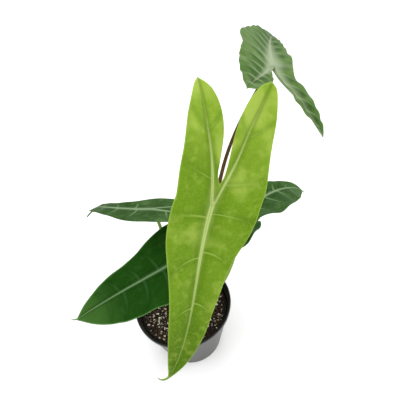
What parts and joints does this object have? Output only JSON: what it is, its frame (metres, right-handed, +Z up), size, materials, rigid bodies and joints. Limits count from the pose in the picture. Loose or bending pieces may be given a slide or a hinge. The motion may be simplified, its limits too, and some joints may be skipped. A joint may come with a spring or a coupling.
{
  "type": "potted dragon tooth alocasia",
  "caption": "Aroid house plant in a tapered nursery pot: long arrow-shaped leaves with two back lobes and pale ribs stand on slender stalks rising from a corm in potting mix.",
  "frame": {"origin": "middle of the pot's flat base, on the surface that the pot stands on", "axes": "+Z up along the pot's axis; +X to the right and +Y away from the eye as the plant is seen in its picture"},
  "size_m": [0.2641, 0.3997, 0.3793],
  "materials": {
    "pot_plastic": "satin moulded polypropylene, glossier and darker on the rim and inside",
    "potting_mix": "dark peat and bark crumbs with cream perlite",
    "corm_skin": "dry papery brown skin",
    "young_stalk": "smooth waxy, pale lime green",
    "green_stalk": "smooth waxy, mid green",
    "brown_stalk": "smooth, dark purple brown",
    "lime_blade": "thin satin young leaf, lime green with pale ribs",
    "dark_blade": "leathery satin leaf, dark green with grey green ribs",
    "mid_blade": "leathery satin leaf, mid green with pale grey green ribs",
    "grey_blade": "leathery satin leaf with a silvery sheen and sunk side veins"
  },
  "bodies": {
    "root": {"pot": "pot_plastic", "potting_mix": "potting_mix", "corm": "corm_skin", "stalk_front": "young_stalk", "stalk_lower_left": "green_stalk", "stalk_upper_left": "green_stalk", "stalk_right": "green_stalk", "stalk_top": "brown_stalk", "blade_front": "lime_blade", "blade_lower_left": "dark_blade", "blade_upper_left": "mid_blade", "blade_right": "mid_blade", "blade_top": "grey_blade"}
  },
  "joints": []
}
